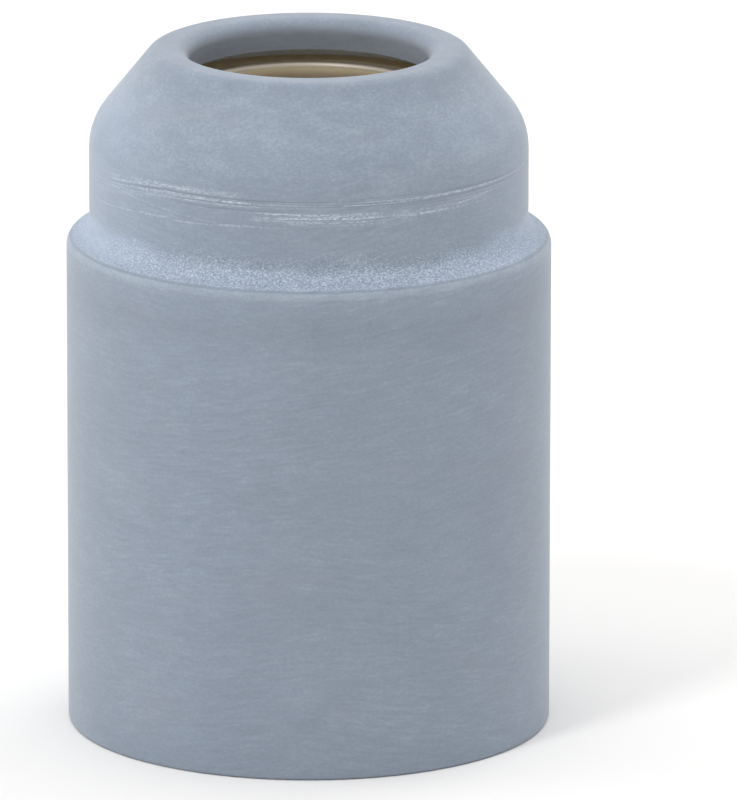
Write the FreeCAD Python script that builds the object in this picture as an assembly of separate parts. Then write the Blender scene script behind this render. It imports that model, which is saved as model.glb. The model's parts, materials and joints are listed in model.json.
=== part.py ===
import FreeCAD, Part
import math
import os

os.makedirs("parts", exist_ok=True)

# Shield cap of a hand-held plasma cutting torch. A moulded insulating shell covers the nozzle end of
# the torch, and a brass insert bonded inside it screws on to the torch head and clamps the nozzle.
# The cap stands on its rear rim: the origin is the rim's centre and +Z runs up the axis to the mouth.
# Lengths are in millimetres and angles in degrees.

# Thread of the torch head
thread_diameter = 20.0
thread_pitch = 1.5
thread_length = 10.0
internal_thread_depth = 0.54127     # radial depth of an internal metric thread, in pitches
thread_margin = 0.3                 # entry chamfer and relief groove stand this far past the thread
relief_width = 1.8

# Brass insert, from the thread forwards
insert_wall = 1.3                   # outside the thread's full diameter
chamber_step = 0.3                  # gas chamber's radius under the thread's inner radius
chamber_length = 8.9
front_wall = 3.6                    # what clamps the nozzle's flange
spigot_length = 2.3                 # stands forward of the seat
insert_bevel = 0.3
nozzle_rim_bevel = 0.3

# Shell, radial sizes
bond_gap = 0.05                     # adhesive film between the insert and the shell
neck_wall = 2.0                     # shell over the insert
shoulder_width = 1.4                # step from the neck out to the body
skirt_wall = 2.35
seat_width = 1.75                   # step in the shell that the insert is pressed against
cone_run = 3.825                    # how far the cone comes in from the neck to the top plane
lip_width = 2.25                    # from that corner in to the mouth's wall
rim_reach = 0.08                    # brass opening's radius under the mouth's radius

# Shell, axial sizes
body_height = 30.37                 # rear rim to the shoulder's outer edge
neck_height = 6.86                  # shoulder's outer edge to where the cone would meet the neck
cone_angle = 39.0                   # between the cone and the axis
shoulder_slope = 12.0               # how far the shoulder falls outwards
lip_thickness = 1.85
front_gap = 0.8                     # between the lip's underside and the insert's face
insert_setback = 0.8                # insert's rear end forward of the skirt's step

# Shell, edges
rear_bevel = 0.2
rear_entry_run = 0.8                # lead-in chamfer of the skirt, along the axis
rear_entry_rise = 0.45              # and across it
shoulder_edge_radius = 0.75
shoulder_fillet_radius = 0.95
cone_blend_radius = 4.1
lip_outer_radius = 0.85
lip_inner_radius = 0.9
inner_bevel = 0.25

# Radii, from the thread outwards
thread_radius = thread_diameter / 2
minor_radius = thread_radius - internal_thread_depth * thread_pitch
relief_radius = thread_radius + thread_margin
insert_radius = thread_radius + insert_wall
insert_bore_radius = insert_radius + bond_gap
neck_radius = insert_bore_radius + neck_wall
body_radius = neck_radius + shoulder_width
skirt_bore_radius = body_radius - skirt_wall

# Radii of the front end
recess_radius = insert_bore_radius - seat_width
spigot_radius = recess_radius - bond_gap
crown_radius = neck_radius - cone_run
mouth_radius = crown_radius - lip_width
nozzle_radius = mouth_radius - rim_reach
chamber_radius = minor_radius - chamber_step

# Heights, from the rear rim up
shoulder_rise = shoulder_width * math.tan(math.radians(shoulder_slope))
cone_corner_z = body_height + neck_height
top_z = cone_corner_z + cone_run / math.tan(math.radians(cone_angle))

# Heights, from the top down
lip_underside_z = top_z - lip_thickness
insert_front_z = lip_underside_z - front_gap
seat_z = insert_front_z - spigot_length
clamp_z = insert_front_z - front_wall
chamber_rear_z = clamp_z - chamber_length
thread_front_z = chamber_rear_z - relief_width
entry_depth = relief_radius - minor_radius
insert_rear_z = thread_front_z - thread_length - entry_depth
skirt_top_z = insert_rear_z - insert_setback


def sharp(radius, height):
    """Corner of a section that is left as it is."""
    return radius, height, "sharp", 0


def rounded(radius, height, size):
    """Corner with an arc of the given radius, tangent to both of its sides."""
    return radius, height, "rounded", size


def bevelled(radius, height, size):
    """Corner cut off straight, the given length along each of its sides."""
    return radius, height, "bevelled", size


def vector(point):
    """Point of the section: radius along +X, height along +Z."""
    return FreeCAD.Vector(point[0], 0, point[1])


def toward(start, end, distance):
    """Point that lies the given distance from start on the line to end."""
    span = math.hypot(end[0] - start[0], end[1] - start[1])
    share = distance / span
    return (start[0] + (end[0] - start[0]) * share, start[1] + (end[1] - start[1]) * share)


def corner_arc(before, corner, after, radius):
    """Arc tangent to both sides of a corner, as its start, its middle and its end."""
    in_angle = math.atan2(before[1] - corner[1], before[0] - corner[0])
    out_angle = math.atan2(after[1] - corner[1], after[0] - corner[0])
    half = abs(math.remainder(out_angle - in_angle, math.tau)) / 2
    tangent = radius / math.tan(half)
    start = toward(corner, before, tangent)
    end = toward(corner, after, tangent)
    chord_middle = ((start[0] + end[0]) / 2, (start[1] + end[1]) / 2)
    middle = toward(corner, chord_middle, radius / math.sin(half) - radius)
    return start, middle, end


def corner_points(before, corner, after, kind, size):
    """Points that stand for a corner: one where it is sharp, two for a bevel and three for an arc."""
    if kind == "rounded":
        return corner_arc(before, corner, after, size)
    if kind == "bevelled":
        return toward(corner, before, size), toward(corner, after, size)
    return (corner,)


def turned(outline):
    """Solid of revolution about the axis, from the corners of its section in order."""
    stretches = []
    for index, (radius, height, kind, size) in enumerate(outline):
        before = outline[index - 1][:2]
        after = outline[(index + 1) % len(outline)][:2]
        stretches.append(corner_points(before, (radius, height), after, kind, size))
    edges = []
    for index, stretch in enumerate(stretches):
        points = [vector(point) for point in stretch]
        following = vector(stretches[(index + 1) % len(stretches)][0])
        if len(points) == 2:
            edges.append(Part.makeLine(points[0], points[1]))
        if len(points) == 3:
            edges.append(Part.Arc(points[0], points[1], points[2]).toShape())
        edges.append(Part.makeLine(points[-1], following))
    section = Part.Face(Part.Wire(edges))
    return section.revolve(FreeCAD.Vector(0, 0, 0), FreeCAD.Vector(0, 0, 1), 360)


def shell_outside():
    """Rear rim, body, shoulder, neck, cone and the lip round the mouth."""
    return [
        bevelled(body_radius, 0, rear_bevel),
        rounded(body_radius, body_height, shoulder_edge_radius),
        rounded(neck_radius, body_height + shoulder_rise, shoulder_fillet_radius),
        rounded(neck_radius, cone_corner_z, cone_blend_radius),
        rounded(crown_radius, top_z, lip_outer_radius),
        rounded(mouth_radius, top_z, lip_inner_radius),
    ]


def shell_inside():
    """Underside of the lip, front recess, seat, insert bore and the skirt with its lead-in."""
    return [
        sharp(mouth_radius, lip_underside_z),
        sharp(recess_radius, lip_underside_z),
        bevelled(recess_radius, seat_z, inner_bevel),
        sharp(insert_bore_radius, seat_z),
        bevelled(insert_bore_radius, skirt_top_z, inner_bevel),
        sharp(skirt_bore_radius, skirt_top_z),
        sharp(skirt_bore_radius, rear_entry_run),
        sharp(skirt_bore_radius + rear_entry_rise, 0),
    ]


def insulating_shell():
    """Moulded shell, open from end to end."""
    return turned(shell_outside() + shell_inside())


def insert_outside():
    """Barrel in the shell's bore, with the spigot that stands forward of the seat."""
    return [
        bevelled(insert_radius, insert_rear_z, insert_bevel),
        bevelled(insert_radius, seat_z, insert_bevel),
        sharp(spigot_radius, seat_z),
        bevelled(spigot_radius, insert_front_z, insert_bevel),
        bevelled(nozzle_radius, insert_front_z, nozzle_rim_bevel),
    ]


def insert_inside():
    """Nozzle opening, clamping shoulder, gas chamber, thread relief and the thread's inner wall."""
    return [
        sharp(nozzle_radius, clamp_z),
        sharp(chamber_radius, clamp_z),
        sharp(chamber_radius, chamber_rear_z),
        sharp(relief_radius, chamber_rear_z),
        sharp(relief_radius, thread_front_z),
        sharp(minor_radius, thread_front_z),
        sharp(minor_radius, insert_rear_z + entry_depth),
        sharp(relief_radius, insert_rear_z),
    ]


def threaded_insert():
    """Turned brass insert."""
    return turned(insert_outside() + insert_inside())


insulating_shell().exportStep("parts/insulating_shell.step")
threaded_insert().exportStep("parts/threaded_insert.step")
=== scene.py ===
import bmesh
import bpy
import json
import math
import random
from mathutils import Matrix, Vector, noise


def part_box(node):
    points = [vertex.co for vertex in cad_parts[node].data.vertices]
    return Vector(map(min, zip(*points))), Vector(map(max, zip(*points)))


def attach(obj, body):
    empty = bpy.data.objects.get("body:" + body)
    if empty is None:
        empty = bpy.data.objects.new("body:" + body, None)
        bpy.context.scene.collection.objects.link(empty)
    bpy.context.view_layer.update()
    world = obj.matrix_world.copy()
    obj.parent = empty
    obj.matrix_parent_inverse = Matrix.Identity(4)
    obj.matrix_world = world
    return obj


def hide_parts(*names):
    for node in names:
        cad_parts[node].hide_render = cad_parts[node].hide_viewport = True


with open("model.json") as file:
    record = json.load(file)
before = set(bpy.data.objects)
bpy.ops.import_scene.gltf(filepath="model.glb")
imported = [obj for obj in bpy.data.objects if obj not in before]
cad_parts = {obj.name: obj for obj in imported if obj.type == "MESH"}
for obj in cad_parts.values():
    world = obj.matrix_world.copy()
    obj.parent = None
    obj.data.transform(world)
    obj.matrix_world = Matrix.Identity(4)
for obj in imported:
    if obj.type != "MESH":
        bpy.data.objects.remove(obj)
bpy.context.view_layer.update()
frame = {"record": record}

# Lengths are in millimetres up to the last step of each mesh, and the frame is in metres.
MM = 0.001

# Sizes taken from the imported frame
shell_low, shell_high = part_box("insulating_shell")
insert_low, insert_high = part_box("threaded_insert")
mounts = {mount["name"]: mount for mount in frame["record"]["mounts"]}
inside_by = 0.0005      # keeps rounded coordinates from passing the solids' box
body_radius = min(shell_high[0], shell_high[1], -shell_low[0], -shell_low[1]) / MM - inside_by
top_z = shell_high[2] / MM - inside_by
insert_radius = insert_high[0] / MM
insert_front_z = insert_high[2] / MM
insert_rear_z = insert_low[2] / MM
skirt_bore_radius = mounts["rear_skirt"]["dims"]["r_mm"]
minor_radius = mounts["torch_thread"]["dims"]["r_mm"]

# Shell sizes
bond_gap = 0.05
neck_wall = 2.0
seat_width = 1.75
cone_run = 3.825
lip_width = 2.25
rim_reach = 0.08
body_height = 30.37
cone_angle = 39.0
shoulder_slope = 12.0
lip_thickness = 1.85
spigot_length = 2.3
insert_setback = 0.8
rear_entry_run = 0.8
rear_entry_rise = 0.45
rear_edge_radius = 0.2
shoulder_edge_radius = 0.75
shoulder_fillet_radius = 0.95
cone_blend_radius = 4.1
lip_outer_radius = 0.85
lip_inner_radius = 0.9
inner_edge_radius = 0.2

# Insert sizes
thread_pitch = 1.5
thread_radius = 10.0
thread_margin = 0.3
relief_width = 1.8
chamber_step = 0.3
front_wall = 3.6
chamber_length = 8.9
insert_edge_radius = 0.25
nozzle_rim_radius = 0.3

# Places that follow from them
insert_bore_radius = insert_radius + bond_gap
neck_radius = insert_bore_radius + neck_wall
shoulder_width = body_radius - neck_radius
neck_foot_z = body_height + shoulder_width * math.tan(math.radians(shoulder_slope))
cone_corner_z = top_z - cone_run / math.tan(math.radians(cone_angle))
crown_radius = neck_radius - cone_run
mouth_radius = crown_radius - lip_width
nozzle_radius = mouth_radius - rim_reach
recess_radius = insert_bore_radius - seat_width
spigot_radius = recess_radius - bond_gap
lip_underside_z = top_z - lip_thickness
seat_z = insert_front_z - spigot_length
skirt_top_z = insert_rear_z - insert_setback
clamp_z = insert_front_z - front_wall
chamber_rear_z = clamp_z - chamber_length
thread_front_z = chamber_rear_z - relief_width
chamber_radius = minor_radius - chamber_step
relief_radius = thread_radius + thread_margin

# Camera, from the photograph's perspective of the rim, shoulder and foot
camera_distance = 800.0
camera_pitch = 14.737
camera_aim_z = 21.0
focal_px = 13118.7
axis_px = (308.87, 381.62)
image_px = (737, 800)
sensor_mm = 36.0

# Mesh fineness
shell_segments = 496
insert_segments = 288
arc_step = math.radians(9)
crease_angle = math.radians(35)
merge_distance = 2e-7

# Heights on the outside of the shell that its wear follows
foot_fade_z = 30.95
foot_top_z = 31.75
rough_fade_z = 31.1
rough_top_z = 32.7
edge_line_radius = 14.5
lines_low_z = 34.95
lines_high_z = 35.7


def toward(start, end, distance):
    """Point that lies the given distance from start on the line to end."""
    share = distance / math.dist(start, end)
    return tuple(a + (b - a) * share for a, b in zip(start, end))


def rounded(before, corner, after, radius):
    """Points of the arc of that radius which is tangent to both sides of a corner."""
    in_angle = math.atan2(before[1] - corner[1], before[0] - corner[0])
    out_angle = math.atan2(after[1] - corner[1], after[0] - corner[0])
    half = abs(math.remainder(out_angle - in_angle, math.tau)) / 2
    tangent = radius / math.tan(half)
    start = toward(corner, before, tangent)
    end = toward(corner, after, tangent)
    middle = ((start[0] + end[0]) / 2, (start[1] + end[1]) / 2)
    centre = toward(corner, middle, radius / math.sin(half))
    first = math.atan2(start[1] - centre[1], start[0] - centre[0])
    turn = math.remainder(math.atan2(end[1] - centre[1], end[0] - centre[0]) - first, math.tau)
    steps = max(2, math.ceil(abs(turn) / arc_step))
    angles = [first + turn * step / steps for step in range(steps + 1)]
    return [(centre[0] + radius * math.cos(a), centre[1] + radius * math.sin(a)) for a in angles]


def section(corners, spacing):
    """Closed section through corners of radius, height and edge radius, with no step above spacing."""
    points = []
    for index, (radius, height, edge) in enumerate(corners):
        before = corners[index - 1][:2]
        after = corners[(index + 1) % len(corners)][:2]
        points += rounded(before, (radius, height), after, edge) if edge else [(radius, height)]
    fine = []
    for index, start in enumerate(points):
        end = points[(index + 1) % len(points)]
        middle = ((start[0] + end[0]) / 2, (start[1] + end[1]) / 2)
        steps = max(1, math.ceil(math.dist(start, end) / spacing(middle) - 0.01))
        for step in range(steps):
            share = step / steps
            fine.append(tuple(a + (b - a) * share for a, b in zip(start, end)))
    return fine


def skin(rows):
    """Quads between neighbouring rows of a grid, as indices into all of its points in order."""
    width = len(rows[0])
    quads = []
    for row in range(len(rows) - 1):
        for step in range(width - 1):
            low = row * width + step
            quads.append((low, low + 1, low + width + 1, low + width))
    return quads


def turned_rows(points, segments):
    """Rows of a surface of revolution, one for each point, with the first column repeated last."""
    rows = []
    for radius, height in points:
        turns = [math.tau * (step % segments) / segments for step in range(segments + 1)]
        rows.append([(radius * math.cos(turn), radius * math.sin(turn), height) for turn in turns])
    return rows


def make_piece(name, grids, node):
    """Piece in place of a node, made of grids of points whose edges meet."""
    made = bmesh.new()
    for rows in grids:
        corners = [made.verts.new(Vector(point) * MM) for row in rows for point in row]
        for quad in skin(rows):
            made.faces.new([corners[index] for index in quad])
    bmesh.ops.remove_doubles(made, verts=made.verts, dist=merge_distance)
    for face in made.faces:
        face.smooth = True
    mesh = bpy.data.meshes.new(name)
    made.to_mesh(mesh)
    made.free()
    mesh.set_sharp_from_angle(angle=crease_angle)
    piece = bpy.data.objects.new(name, mesh)
    bpy.context.collection.objects.link(piece)
    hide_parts(node)
    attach(piece, "root")
    return piece


def smooth_step(low, high, value):
    """0 below low and 1 above high, with a smooth rise between."""
    share = min(1.0, max(0.0, (value - low) / (high - low)))
    return share * share * (3 - 2 * share)


def between(low, high, soft, value):
    """1 from low to high, falling to 0 over a soft edge outside of them."""
    return smooth_step(low - soft, low, value) * (1 - smooth_step(high, high + soft, value))


def azimuth_of(x, y):
    """Degrees round the axis from the front, positive to its right."""
    return math.degrees(math.atan2(x, -y))


def mark(piece, name, value_at):
    """Stores a value at each vertex for the material, from its place in millimetres."""
    values = [value_at(vertex.co / MM) for vertex in piece.data.vertices]
    piece.data.attributes.new(name, "FLOAT", "POINT").data.foreach_set("value", values)


def carve(piece, depth_at):
    """Moves each vertex in along its normal by a depth that depends on its place."""
    normals = [vertex.normal.copy() for vertex in piece.data.vertices]
    for vertex, normal in zip(piece.data.vertices, normals):
        vertex.co -= normal * depth_at(vertex.co / MM) * MM


# Shell

def shell_spacing(place):
    """Length of the section's steps: fine over the worn neck and shoulder."""
    radius, height = place
    if radius < skirt_bore_radius + rear_entry_rise:
        return 0.5 if height > neck_foot_z + 6 else 2.5
    if height > 36.8:
        return 0.45
    if height > 33.3:
        return 0.10
    return 0.13 if height > 29.5 else 2.0


def below_on_neck(place, fade_z, end_z):
    """1 at the foot of the neck and on the shoulder inside its edge line, with a ragged fade above."""
    radius = math.hypot(place.x, place.y)
    if radius < skirt_bore_radius + rear_entry_rise:
        return 0.0
    ragged = 0.35 * noise.noise(Vector((place.x * 0.35, place.y * 0.35, place.z * 0.9)))
    worn = 1 - smooth_step(fade_z, end_z, place.z + ragged)
    return worn * (1 - smooth_step(edge_line_radius - 0.2, edge_line_radius + 0.05, radius))


def foot_at(place):
    """How far the pale worn foot of the neck covers a place on the shell: higher up at the sides."""
    lift = 0.55 * smooth_step(25, 60, abs(azimuth_of(place.x, place.y)))
    return below_on_neck(place, foot_fade_z + lift, foot_top_z + lift)


def band_at(place):
    """How rough the foot of the neck is at a place: more so at the front than at the sides."""
    strong = 0.65 + 0.35 * between(-44, 54, 30, azimuth_of(place.x, place.y))
    return strong * below_on_neck(place, rough_fade_z, rough_top_z)


def edge_light_at(place):
    """Painted highlight on the rounded edge of the shoulder at a place, and below 0 painted shade on
    the wall under it.
    """
    if math.hypot(place.x, place.y) < edge_line_radius + 0.05:
        return 0.0
    wall = 0.2 * (1 - smooth_step(26.6, 27.8, place.z))
    return between(29.85, 30.4, 0.2, place.z) - max(wall, 0.65 * between(27.8, 29.3, 1.2, place.z))


def side_light_at(place):
    """How far painted light covers the sides of the neck and the dome at a place, stronger on the left.
    """
    if math.hypot(place.x, place.y) < mouth_radius + lip_inner_radius or place.z < neck_foot_z - 0.2:
        return 0.0
    to_right = place.x / math.hypot(place.x, place.y)
    haze = smooth_step(30, 72, abs(azimuth_of(place.x, place.y))) * (0.8 - 0.2 * to_right)
    return haze * (1 - smooth_step(top_z - 3.5, top_z - 0.5, place.z))


def mouth_shade_at(place):
    """How far the rounded inner edge of the mouth takes the bore's painted shade at a place."""
    if math.hypot(place.x, place.y) > mouth_radius + lip_inner_radius:
        return 0.0
    return 1 - smooth_step(top_z - 0.85 * lip_inner_radius, top_z - 0.25 * lip_inner_radius, place.z)


def lines_at(place):
    """How strongly fine turned lines show at a place on the neck."""
    azimuth = azimuth_of(place.x, place.y)
    height = place.z + 0.7 * between(-120, -78, 40, azimuth)
    low = lines_low_z + 0.3 * noise.noise(Vector((place.x * 0.12, place.y * 0.12, 5)))
    strong = 0.6 + 0.4 * between(-50, 40, 30, azimuth)
    return strong * between(low, lines_high_z, 0.12, height)


def cluster_at(place):
    """How strongly a place on the neck is scuffed pale."""
    azimuth = azimuth_of(place.x, place.y)
    return max(
        strength * between(start, end, 5, azimuth) * between(low, high, 0.12, place.z)
        for start, end, low, high, strength in scuffs
    )


def shell_depth(place):
    """Depth of the wear at a place on the shell, in millimetres."""
    pits = 0.5 + 0.5 * noise.noise(place * 2.6)
    grit = 0.5 + 0.5 * noise.noise(place * 6.5)
    ridges = 0.5 + 0.5 * noise.noise(Vector((place.x * 0.12, place.y * 0.12, place.z * 4)))
    rough = band_at(place) * (0.018 * pits + 0.006 * grit)
    return rough + 0.008 * max(lines_at(place), cluster_at(place)) * ridges


# Pale scuffs on the neck: azimuths from and to, heights from and to, strength
scuffs = [
    (-12, -2, 34.42, 34.80, 1.0),
    (-4, 16, 34.18, 34.74, 0.9),
    (12, 26, 34.10, 34.60, 0.6),
    (26, 52, 34.40, 34.80, 0.45),
    (-60, -20, 35.25, 35.95, 0.4),
    (150, 185, 34.30, 34.80, 0.7),
    (100, 128, 33.90, 34.50, 0.5),
    (-170, -140, 34.70, 35.10, 0.5),
    (-118, -92, 34.20, 34.70, 0.4),
]

shell_corners = [
    (body_radius, 0, rear_edge_radius),
    (body_radius, body_height, shoulder_edge_radius),
    (neck_radius, neck_foot_z, shoulder_fillet_radius),
    (neck_radius, cone_corner_z, cone_blend_radius),
    (crown_radius, top_z, lip_outer_radius),
    (mouth_radius, top_z, lip_inner_radius),
    (mouth_radius, lip_underside_z, 0),
    (recess_radius, lip_underside_z, 0),
    (recess_radius, seat_z, inner_edge_radius),
    (insert_bore_radius, seat_z, 0),
    (insert_bore_radius, skirt_top_z, inner_edge_radius),
    (skirt_bore_radius, skirt_top_z, 0),
    (skirt_bore_radius, rear_entry_run, 0),
    (skirt_bore_radius + rear_entry_rise, 0, 0),
]
shell_section = section(shell_corners, shell_spacing)
shell_section.append(shell_section[0])
shell = make_piece(
    "shell", [turned_rows(shell_section, shell_segments)], "insulating_shell"
)
carve(shell, shell_depth)
shell_marks = {
    "foot": foot_at,
    "band": band_at,
    "lines": lines_at,
    "cluster": cluster_at,
    "rim": edge_light_at,
    "haze": side_light_at,
    "soot": mouth_shade_at,
}
for name, value_at in shell_marks.items():
    mark(shell, name, value_at)


# Insert

def thread_radius_at(phase):
    """Radius of the thread's wall at a share of its pitch, the crest's middle being 0."""
    flank = abs(math.remainder(phase, 1.0))
    return minor_radius + (thread_radius - minor_radius) * min(1, max(0, (flank - 0.125) / 0.3125))


def thread_rows():
    """Rows of the helical thread, down from the relief to the rear entry."""
    breaks = [0.0, 0.0625, 0.125, 0.203, 0.281, 0.359, 0.4375, 0.5]
    phases = breaks + [1 - share for share in breaks[-2:0:-1]]
    turns = math.ceil((thread_front_z - insert_rear_z) / thread_pitch) + 1
    levels = [turn + phase for turn in range(-1, turns + 1) for phase in phases]
    levels.sort(reverse=True)
    rows = []
    for level in levels:
        row = []
        for step in range(insert_segments + 1):
            helix = insert_rear_z + thread_pitch * step / insert_segments
            height = min(thread_front_z, max(insert_rear_z, helix + thread_pitch * level))
            wall = thread_radius_at((height - helix) / thread_pitch)
            radius = max(wall, relief_radius - (height - insert_rear_z))
            turn = math.tau * (step % insert_segments) / insert_segments
            row.append((radius * math.cos(turn), radius * math.sin(turn), height))
        rows.append(row)
    return rows


insert_corners = [
    (relief_radius, insert_rear_z, 0),
    (insert_radius, insert_rear_z, insert_edge_radius),
    (insert_radius, seat_z, insert_edge_radius),
    (spigot_radius, seat_z, 0),
    (spigot_radius, insert_front_z, insert_edge_radius),
    (nozzle_radius, insert_front_z, nozzle_rim_radius),
    (nozzle_radius, clamp_z, 0),
    (chamber_radius, clamp_z, 0),
    (chamber_radius, chamber_rear_z, 0),
    (relief_radius, chamber_rear_z, 0),
    (relief_radius, thread_front_z, 0),
]


def insert_rows():
    """Rows of the insert's turned surfaces, from the rear face round to the thread's front end."""
    points = section(insert_corners, lambda place: 1.5)
    last = points.index((relief_radius, thread_front_z))
    return turned_rows(points[: last + 1], insert_segments)


def thread_end_rows():
    """Rows of the ring between the relief groove and the first row of the thread."""
    return [turned_rows([(relief_radius, thread_front_z)], insert_segments)[0], thread_rows()[0]]


insert = make_piece(
    "insert", [insert_rows(), thread_end_rows(), thread_rows()], "threaded_insert"
)


# Materials

def new_material(name):
    """Empty material, as its node tree and its shader."""
    material = bpy.data.materials.new(name)
    material.use_nodes = True
    shader = material.node_tree.nodes["Principled BSDF"]
    return material, material.node_tree, shader


def add_node(tree, kind, inputs, **settings):
    """Node of a kind, with its settings and with its inputs as values or links."""
    made = tree.nodes.new(kind)
    for name, value in settings.items():
        setattr(made, name, value)
    for key, value in inputs.items():
        if isinstance(value, bpy.types.NodeSocket):
            tree.links.new(value, made.inputs[key])
        else:
            made.inputs[key].default_value = value
    return made


def maths(tree, operation, *values):
    """Result of a math node."""
    return add_node(tree, "ShaderNodeMath", dict(enumerate(values)), operation=operation).outputs[0]


def remap(tree, value, low, high, low_result, high_result):
    """Value between low and high, turned into one between two results."""
    sockets = {0: value, 1: low, 2: high, 3: low_result, 4: high_result}
    return add_node(tree, "ShaderNodeMapRange", sockets).outputs[0]


def mix_colour(tree, share, first, second):
    """Colour that is a share of the way from the first to the second."""
    sockets = {0: share, 6: first, 7: second}
    return add_node(tree, "ShaderNodeMix", sockets, data_type="RGBA").outputs[2]


def place_parts(tree):
    """X, Y and Z of the surface in millimetres, in the frame's own directions."""
    spot = add_node(tree, "ShaderNodeTexCoord", {}).outputs["Object"]
    sized = add_node(tree, "ShaderNodeVectorMath", {0: spot, 3: 1 / MM}, operation="SCALE").outputs[0]
    return list(add_node(tree, "ShaderNodeSeparateXYZ", {0: sized}).outputs)


def radius_of(tree, x, y):
    """Distance from the axis."""
    squares = maths(tree, "ADD", maths(tree, "POWER", x, 2.0), maths(tree, "POWER", y, 2.0))
    return maths(tree, "SQRT", squares)


def noise_at(tree, parts, detail, roughness):
    """Noise at a place given by three parts."""
    spot = add_node(tree, "ShaderNodeCombineXYZ", dict(enumerate(parts))).outputs[0]
    sockets = {"Vector": spot, "Scale": 1.0, "Detail": detail, "Roughness": roughness}
    return add_node(tree, "ShaderNodeTexNoise", sockets).outputs[0]


def streaks(tree, place, along, across, slope, detail, roughness):
    """Noise drawn out round the part, rising with X by a slope. Along and across are per millimetre."""
    x, y, z = place
    leaned = maths(tree, "MULTIPLY_ADD", x, slope, z)
    rates = ((x, along), (y, along), (leaned, across))
    parts = [maths(tree, "MULTIPLY", part, rate) for part, rate in rates]
    return noise_at(tree, parts, detail, roughness)


def add_bump(tree, shader, height, depth):
    """Bumps on the surface, the height's unit being a depth in millimetres."""
    sockets = {"Strength": 1.0, "Distance": depth * MM, "Height": height}
    tree.links.new(add_node(tree, "ShaderNodeBump", sockets).outputs[0], shader.inputs["Normal"])


def attribute(tree, name):
    """Value that the mesh stores at its vertices."""
    return add_node(tree, "ShaderNodeAttribute", {}, attribute_name=name).outputs["Fac"]


def scratch(tree, azimuth, height, start, start_z, end, end_z, width, strength):
    """Mask of one thin scratch that runs between two azimuths and heights."""
    slope = (end_z - start_z) / (end - start)
    line = maths(tree, "MULTIPLY_ADD", azimuth, slope, start_z - start * slope)
    away = maths(tree, "ABSOLUTE", maths(tree, "SUBTRACT", height, line))
    core = remap(tree, away, width * 0.3, width, strength, 0.0)
    half = (end - start) / 2
    along = maths(tree, "ABSOLUTE", maths(tree, "SUBTRACT", azimuth, start + half))
    return maths(tree, "MULTIPLY", core, remap(tree, along, half - 4, half, 1.0, 0.0))


# Scratches on the neck: azimuth and height from, azimuth and height to, half width and strength
scratches = [
    (-74, 33.42, -50, 33.82, 0.07, 0.7),
    (-53, 33.80, -38, 33.92, 0.09, 1.0),
    (-40, 33.80, -24, 33.86, 0.07, 0.7),
    (-26, 33.90, -14, 33.96, 0.09, 1.0),
    (-18, 33.98, -4, 33.96, 0.06, 0.6),
    (-64, 34.95, -19, 33.85, 0.05, 0.5),
    (-62, 35.28, -44, 35.90, 0.06, 0.8),
    (-46, 35.92, -28, 35.80, 0.07, 0.8),
    (-32, 35.46, -14, 35.38, 0.06, 0.8),
    (-79, 34.75, -52, 35.50, 0.05, 0.6),
    (-13, 34.80, 8, 34.74, 0.07, 1.0),
    (-8, 34.55, 20, 34.50, 0.06, 0.9),
    (8, 35.30, 30, 35.36, 0.07, 0.8),
    (26, 35.36, 48, 35.40, 0.07, 0.8),
    (46, 35.42, 62, 35.42, 0.09, 0.9),
    (60, 35.42, 80, 35.44, 0.08, 0.7),
    (22, 34.40, 40, 34.50, 0.08, 0.8),
    (38, 34.60, 58, 35.00, 0.06, 0.7),
]

# The back gets made-up ones of the same kind.
chance = random.Random(11)
for start in range(86, 262, 22):
    first_z = 33.7 + 2.1 * chance.random()
    end = start + 14 + 20 * chance.random()
    end_z = first_z + 0.3 * chance.random()
    scratches.append((start, first_z, end, end_z, 0.07, 0.7))

shell_dark = (0.075, 0.090, 0.112, 1)
shell_base = (0.240, 0.286, 0.352, 1)
shell_pale = (0.560, 0.625, 0.700, 1)
shell_warm = (0.275, 0.270, 0.290, 1)
# Pale colour of the worn foot, also used for painted light on the sides of the neck and dome
shell_pale_wear_and_light = (0.420, 0.510, 0.660, 1)
# Inside colours: darker and warmer than the outside, as painted shade and painted reflected light from
# the brass
bore_shade = (0.215, 0.243, 0.285, 1)
bore_shade_dark = (0.195, 0.220, 0.258, 1)
bore_shade_pale = (0.235, 0.266, 0.312, 1)
# Painted light: near-white colour for the recess wall under the lip
recess_light = (0.860, 0.870, 0.870, 1)

# Azimuth behind the part where the scratches' azimuths start over, clear of the ones in front
wrap_azimuth = -84.0


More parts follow.
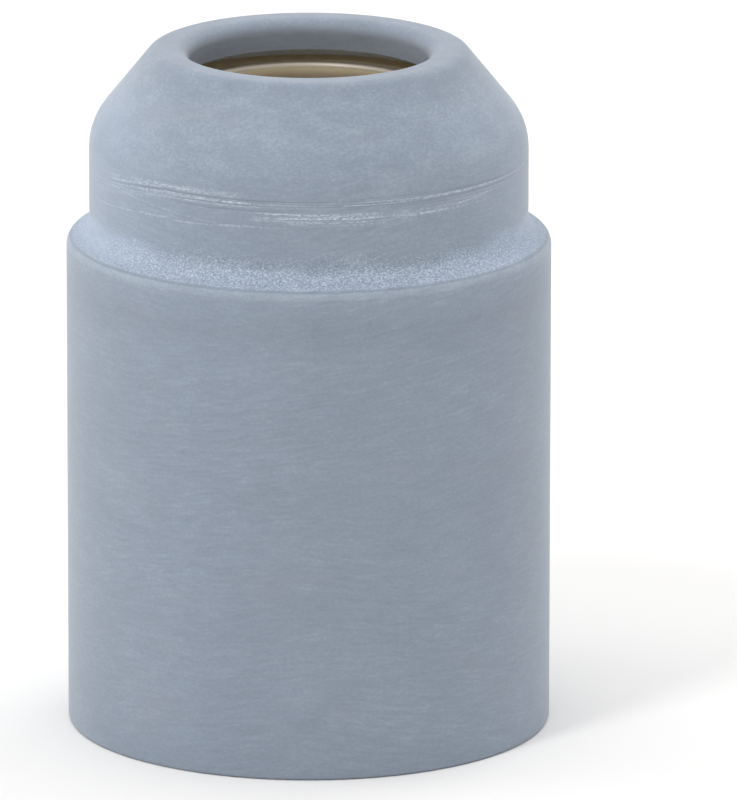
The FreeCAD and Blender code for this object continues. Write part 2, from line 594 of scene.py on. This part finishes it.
def shell_material():
    """Matte moulded plastic with fine streaks, a rough pale band, turned lines and scratches."""
    material, tree, shader = new_material("shell")
    place = place_parts(tree)
    x, y, z = place
    turn = maths(tree, "ARCTAN2", x, maths(tree, "MULTIPLY", y, -1.0))
    from_front = maths(tree, "MULTIPLY", turn, math.degrees(1))
    behind = maths(tree, "MULTIPLY", maths(tree, "LESS_THAN", from_front, wrap_azimuth), 360.0)
    azimuth = maths(tree, "ADD", from_front, behind)
    foot = attribute(tree, "foot")
    band = attribute(tree, "band")
    lines = attribute(tree, "lines")
    cluster = attribute(tree, "cluster")
    rim = attribute(tree, "rim")

    rising = streaks(tree, place, 0.6, 4.8, -0.16, 3.0, 0.7)
    falling = streaks(tree, place, 0.6, 4.8, 0.12, 3.0, 0.7)
    patches = streaks(tree, place, 0.06, 0.06, 0.0, 1.0, 0.5)
    region = remap(tree, patches, 0.42, 0.58, 0.0, 1.0)
    leaning = add_node(tree, "ShaderNodeMix", {0: region, 2: rising, 3: falling}).outputs[0]
    mottle = streaks(tree, place, 0.45, 0.9, 0.0, 3.0, 0.6)
    cloud = streaks(tree, place, 0.14, 0.22, 0.0, 2.0, 0.5)
    grain = streaks(tree, place, 4.5, 7.0, 0.0, 2.0, 0.7)
    speck = streaks(tree, place, 7.5, 12.0, 0.0, 1.5, 0.75)
    clump = streaks(tree, place, 1.3, 3.0, 0.0, 2.0, 0.6)
    left_drop = remap(tree, from_front, -150.0, -110.0, 0.0, 0.7)
    drop = remap(tree, from_front, -78.0, -40.0, left_drop, 0.0)
    along_lines = (x, y, maths(tree, "ADD", z, drop))
    turned_lines = streaks(tree, along_lines, 0.07, 12.5, 0.0, 2.0, 0.5)
    dashes = streaks(tree, along_lines, 4.2, 12.0, 0.0, 2.0, 0.7)
    broken = remap(tree, dashes, 0.40, 0.62, 0.0, 1.0)
    on_dome = remap(tree, z, lines_high_z, lines_high_z + 1.5, 0.0, 1.0)

    def add_tone(total, value, amount, middle=0.5):
        """Total with an amount of how far a noise is from its middle."""
        return maths(tree, "MULTIPLY_ADD", maths(tree, "SUBTRACT", value, middle), amount, total)

    tone = add_tone(0.5, leaning, maths(tree, "MULTIPLY_ADD", on_dome, -0.12, 0.24))
    tone = add_tone(tone, mottle, maths(tree, "MULTIPLY_ADD", on_dome, 0.12, 0.09))
    tone = add_tone(tone, cloud, 0.08)
    tone = add_tone(tone, grain, maths(tree, "MULTIPLY_ADD", on_dome, 0.08, 0.20))
    # Painted highlight on the shoulder's rounded edge, and painted shade on the wall below it
    tone = maths(tree, "MULTIPLY_ADD", rim, 0.09, tone)
    tone = maths(tree, "MULTIPLY_ADD", foot, 0.03, tone)
    tone = maths(tree, "MULTIPLY_ADD", band, 0.02, tone)
    tone = maths(tree, "MULTIPLY_ADD", on_dome, 0.02, tone)
    # Painted shade: darker towards the top edge of the lip
    tone = maths(tree, "ADD", tone, remap(tree, z, top_z - 1.4, top_z - 0.4, 0.0, -0.04))
    bright_specks = remap(tree, speck, 0.50, 0.66, 0.0, 0.42)
    dark_specks = remap(tree, speck, 0.34, 0.47, -0.20, 0.0)
    rough_tone = add_tone(maths(tree, "ADD", bright_specks, dark_specks), clump, 0.24)
    speckled = maths(tree, "MULTIPLY", band, maths(tree, "MULTIPLY_ADD", foot, 0.4, 0.6))
    tone = maths(tree, "MULTIPLY_ADD", rough_tone, speckled, tone)
    radius = radius_of(tree, x, y)
    from_line = maths(tree, "ABSOLUTE", maths(tree, "SUBTRACT", radius, edge_line_radius))
    edge_line = remap(tree, from_line, 0.02, 0.10, remap(tree, z, 29.9, 30.2, 0.0, -0.07), 0.0)
    edge_line = maths(tree, "MULTIPLY", edge_line, remap(tree, rising, 0.38, 0.55, 1.0, 0.4))
    tone = maths(tree, "ADD", tone, edge_line)
    dark_lines = remap(tree, turned_lines, 0.36, 0.47, -0.15, 0.0)
    pale_lines = maths(tree, "MULTIPLY", remap(tree, turned_lines, 0.52, 0.62, 0.0, 1.0), broken)
    line_tone = maths(tree, "MULTIPLY_ADD", pale_lines, 0.17, dark_lines)
    tone = maths(tree, "MULTIPLY_ADD", line_tone, lines, tone)
    cluster_lines = maths(tree, "MULTIPLY", remap(tree, turned_lines, 0.46, 0.56, 0.15, 1.0), broken)
    cluster_tone = maths(tree, "MULTIPLY", cluster_lines, cluster)
    tone = maths(tree, "MULTIPLY_ADD", cluster_tone, 0.37, tone)
    marks = 0.0
    for values in scratches:
        marks = maths(tree, "MAXIMUM", marks, scratch(tree, azimuth, z, *values))
    marks = maths(tree, "MULTIPLY", marks, broken)
    tone = maths(tree, "MULTIPLY_ADD", marks, 0.36, tone)

    stops = [(0.0, shell_dark), (0.5, shell_base), (1.0, shell_pale)]
    ramp = add_node(tree, "ShaderNodeValToRGB", {0: tone})
    for index, (position, colour) in enumerate(stops):
        stop = ramp.color_ramp.elements[index] if index < 2 else ramp.color_ramp.elements.new(position)
        stop.position = position
        stop.color = colour
    warmth = streaks(tree, place, 0.16, 0.34, 0.0, 2.0, 0.6)
    warm_spots = remap(tree, warmth, 0.60, 0.72, 0.0, 0.16)
    colour = mix_colour(tree, warm_spots, ramp.outputs[0], shell_warm)
    # Pale wear on the foot of the neck, and painted light on the sides of the neck and dome
    worn = maths(tree, "MULTIPLY", attribute(tree, "haze"), 0.20)
    worn = maths(tree, "MULTIPLY_ADD", foot, 0.25, worn)
    colour = mix_colour(tree, worn, colour, shell_pale_wear_and_light)
    # Painted shade: the rounded inner edge of the mouth darkens into the bore's colour
    colour = mix_colour(tree, attribute(tree, "soot"), colour, bore_shade)
    tree.links.new(colour, shader.inputs["Base Color"])

    rough = maths(tree, "MULTIPLY_ADD", band, 0.18, 0.56)
    rough = maths(tree, "MULTIPLY_ADD", maths(tree, "SUBTRACT", leaning, 0.5), 0.25, rough)
    tree.links.new(rough, shader.inputs["Roughness"])
    height = maths(tree, "MULTIPLY_ADD", grain, 0.35, leaning)
    height = maths(tree, "MULTIPLY_ADD", maths(tree, "MULTIPLY", speck, band), 3.0, height)
    worn_lines = maths(tree, "MULTIPLY", turned_lines, maths(tree, "MAXIMUM", lines, cluster))
    height = maths(tree, "MULTIPLY_ADD", worn_lines, 1.5, height)
    height = maths(tree, "MULTIPLY_ADD", marks, -1.5, height)
    add_bump(tree, shader, height, 0.012)
    shader.inputs["IOR"].default_value = 1.45
    shader.inputs["Sheen Weight"].default_value = 0.2
    shader.inputs["Sheen Roughness"].default_value = 0.4
    return material


def bore_material():
    """The same plastic inside the cap, smoother and blotchy, in darker and warmer colours that are
    painted shade and painted reflected light from the brass, with painted light in the recess under the
    lip.
    """
    material, tree, shader = new_material("shell_bore")
    place = place_parts(tree)
    soot = streaks(tree, place, 0.4, 0.9, 0.0, 3.0, 0.6)
    grain = streaks(tree, place, 2.0, 6.0, 0.0, 2.0, 0.6)
    shade = maths(tree, "MULTIPLY_ADD", maths(tree, "SUBTRACT", grain, 0.5), 0.4, soot)
    colour = mix_colour(tree, remap(tree, shade, 0.3, 0.7, 0.0, 1.0), bore_shade_dark, bore_shade_pale)
    x, y, z = place
    radius = radius_of(tree, x, y)
    # Painted light: the recess wall under the lip is made near white
    recessed = remap(tree, z, seat_z - 0.2, seat_z, 0.0, 0.9)
    recess_painted_light = remap(tree, radius, mouth_radius + 0.05, mouth_radius + 0.4, 0.0, recessed)
    colour = mix_colour(tree, recess_painted_light, colour, recess_light)
    tree.links.new(colour, shader.inputs["Base Color"])
    tree.links.new(remap(tree, soot, 0.3, 0.7, 0.55, 0.70), shader.inputs["Roughness"])
    add_bump(tree, shader, grain, 0.008)
    return material


pale_brass = (0.76, 0.64, 0.43, 1)
dull_brass = (0.64, 0.52, 0.33, 1)
# Painted shade on the nozzle's rim and deep in its bore
brass_shade = (0.325, 0.295, 0.265, 1)
# Painted highlight at the top of the nozzle's bore
brass_highlight = (0.89, 0.80, 0.58, 1)


def insert_material():
    """Turned brass with fine rings and blotchy tarnish, with a painted highlight at the top of the
    nozzle's bore, and painted shade on the nozzle's rim and deeper down the bore.
    """
    material, tree, shader = new_material("insert")
    x, y, z = place_parts(tree)
    radius = radius_of(tree, x, y)
    ring_place = [maths(tree, "MULTIPLY", radius, 9.0), 0.0, maths(tree, "MULTIPLY", z, 9.0)]
    rings = noise_at(tree, ring_place, 3.0, 0.7)
    tarnish = streaks(tree, (x, y, z), 0.25, 0.6, 0.0, 3.0, 0.6)
    shade = maths(tree, "MULTIPLY_ADD", maths(tree, "SUBTRACT", rings, 0.5), 0.35, tarnish)
    colour = mix_colour(tree, remap(tree, shade, 0.35, 0.65, 0.0, 1.0), pale_brass, dull_brass)
    # Painted highlight at the top of the nozzle's bore
    near_front = remap(tree, z, insert_front_z - 0.8, insert_front_z - 0.2, 0.0, 1.0)
    bore_top_highlight = remap(tree, radius, nozzle_radius + 0.05, nozzle_radius + 0.15, near_front, 0.0)
    colour = mix_colour(tree, bore_top_highlight, colour, brass_highlight)
    # Painted shade deeper down the nozzle's bore
    lower_wall = remap(tree, z, insert_front_z - 0.95, insert_front_z - 0.5, 0.65, 0.0)
    deep_bore_shade = remap(tree, radius, nozzle_radius + 0.05, nozzle_radius + 0.15, lower_wall, 0.0)
    colour = mix_colour(tree, deep_bore_shade, colour, brass_shade)
    # Painted shade on the nozzle's rim, dimming its highlight
    from_rim = maths(tree, "ABSOLUTE", maths(tree, "SUBTRACT", radius, nozzle_radius + 0.25))
    top_only = remap(tree, z, insert_front_z - 0.34, insert_front_z - 0.19, 0.0, 0.85)
    rim_shade = remap(tree, from_rim, 0.25, 0.35, top_only, 0.0)
    colour = mix_colour(tree, rim_shade, colour, brass_shade)
    tree.links.new(colour, shader.inputs["Base Color"])
    tree.links.new(remap(tree, rings, 0.3, 0.7, 0.42, 0.54), shader.inputs["Roughness"])
    add_bump(tree, shader, rings, 0.004)
    shader.inputs["Metallic"].default_value = 0.7
    return material


def inside_the_shell(face):
    """Whether a face of the shell is on its inner walls, under the rounded lip."""
    slack = 0.02
    middle = face.center / MM
    radius = math.hypot(middle.x, middle.y)
    outwards = (face.normal.x * middle.x + face.normal.y * middle.y) / radius
    below_lip = mouth_radius + slack > radius or middle.z < lip_underside_z + slack
    on_rear_rim = middle.z <= slack / 2
    return outwards < 0.05 and below_lip and not on_rear_rim


shell.data.materials.append(shell_material())
shell.data.materials.append(bore_material())
for face in shell.data.polygons:
    if inside_the_shell(face):
        face.material_index = 1
insert.data.materials.append(insert_material())


# Floor and surroundings

floor_half = 3.0        # metres
floor_gap = 0.02        # millimetres under the part
floor_colour = (0.905, 0.896, 0.886, 1)
ambient = 0.765
background = 1.0


def seen_directly(tree):
    """1 for what the camera sees, also in a reflection or through glass, and otherwise 0."""
    path = add_node(tree, "ShaderNodeLightPath", {}).outputs
    glossy = maths(tree, "MAXIMUM", path["Is Camera Ray"], path["Is Glossy Ray"])
    return maths(tree, "MAXIMUM", glossy, path["Is Transmission Ray"])


def floor_material():
    """Plain white floor."""
    material = bpy.data.materials.new("floor")
    material.use_nodes = True
    tree = material.node_tree
    tree.nodes.clear()
    white = add_node(tree, "ShaderNodeBsdfDiffuse", {"Color": floor_colour}).outputs[0]
    add_node(tree, "ShaderNodeOutputMaterial", {0: white})
    return material


def add_floor():
    """Large flat floor just under the part."""
    low = -floor_gap * MM
    sides = [(-1, -1), (1, -1), (1, 1), (-1, 1)]
    corners = [(floor_half * x, floor_half * y, low) for x, y in sides]
    mesh = bpy.data.meshes.new("floor")
    mesh.from_pydata(corners, [], [(0, 1, 2, 3)])
    mesh.materials.append(floor_material())
    floor = bpy.data.objects.new("floor", mesh)
    bpy.context.collection.objects.link(floor)


def add_world():
    """White background, and a dimmer even light from all round."""
    world = bpy.data.worlds.new("studio")
    world.use_nodes = True
    tree = world.node_tree
    tree.nodes.clear()
    light = add_node(tree, "ShaderNodeBackground", {"Strength": ambient}).outputs[0]
    white = add_node(tree, "ShaderNodeBackground", {"Strength": background}).outputs[0]
    for source in (light, white):
        source.node.inputs["Color"].default_value = (1, 1, 1, 1)
    shares = {0: seen_directly(tree), 1: light, 2: white}
    mixed = add_node(tree, "ShaderNodeMixShader", shares).outputs[0]
    add_node(tree, "ShaderNodeOutputWorld", {0: mixed})
    bpy.context.scene.world = world


def from_aim(azimuth, elevation, distance):
    """Place at a distance in millimetres from the camera's aim, in a direction from the front."""
    turn = math.radians(azimuth)
    rise = math.radians(elevation)
    flat = distance * math.cos(rise)
    offset = Vector((flat * math.sin(turn), -flat * math.cos(turn), distance * math.sin(rise)))
    return (Vector((0, 0, camera_aim_z)) + offset) * MM


# Softboxes: name, azimuth, elevation, distance, width, height, watts
softboxes = [
    ("key", -37.5, 52, 420, 60, 60, 0.385),
    ("left", -95, 12, 400, 200, 300, 0.37),
    ("right", 95, 12, 400, 200, 300, 0.13),
    ("top", 0, 80, 400, 300, 300, 0.20),
    ("back_left", -140, 25, 400, 200, 250, 0.11),
    ("back_high", 180, 50, 420, 250, 200, 0.10),
    ("back_right", 140, 50, 420, 200, 200, 0.27),
]


def add_softbox(name, azimuth, elevation, distance, width, height, watts):
    """Rectangular light that faces the part."""
    lamp = bpy.data.lights.new(name, "AREA")
    lamp.shape = "RECTANGLE"
    lamp.size = width * MM
    lamp.size_y = height * MM
    lamp.energy = watts
    holder = bpy.data.objects.new(name, lamp)
    holder.location = from_aim(azimuth, elevation, distance)
    aim = Vector((0, 0, camera_aim_z)) * MM - holder.location
    holder.rotation_euler = aim.to_track_quat("-Z", "Y").to_euler()
    holder.visible_camera = False
    bpy.context.collection.objects.link(holder)


def add_camera():
    """Camera at the photograph's angle, distance and framing."""
    lens = bpy.data.cameras.new("camera")
    lens.sensor_width = sensor_mm
    lens.lens = focal_px / max(image_px) * sensor_mm
    lens.shift_x = (image_px[0] / 2 - axis_px[0]) / max(image_px)
    lens.shift_y = (axis_px[1] - image_px[1] / 2) / max(image_px)
    lens.clip_start = 0.01
    lens.clip_end = 20
    camera = bpy.data.objects.new("camera", lens)
    camera.location = from_aim(0, camera_pitch, camera_distance)
    camera.rotation_euler = (math.radians(90 - camera_pitch), 0, 0)
    bpy.context.collection.objects.link(camera)
    bpy.context.scene.camera = camera


add_floor()
add_world()
for softbox in softboxes:
    add_softbox(*softbox)
add_camera()
bpy.context.scene.view_settings.view_transform = "Standard"
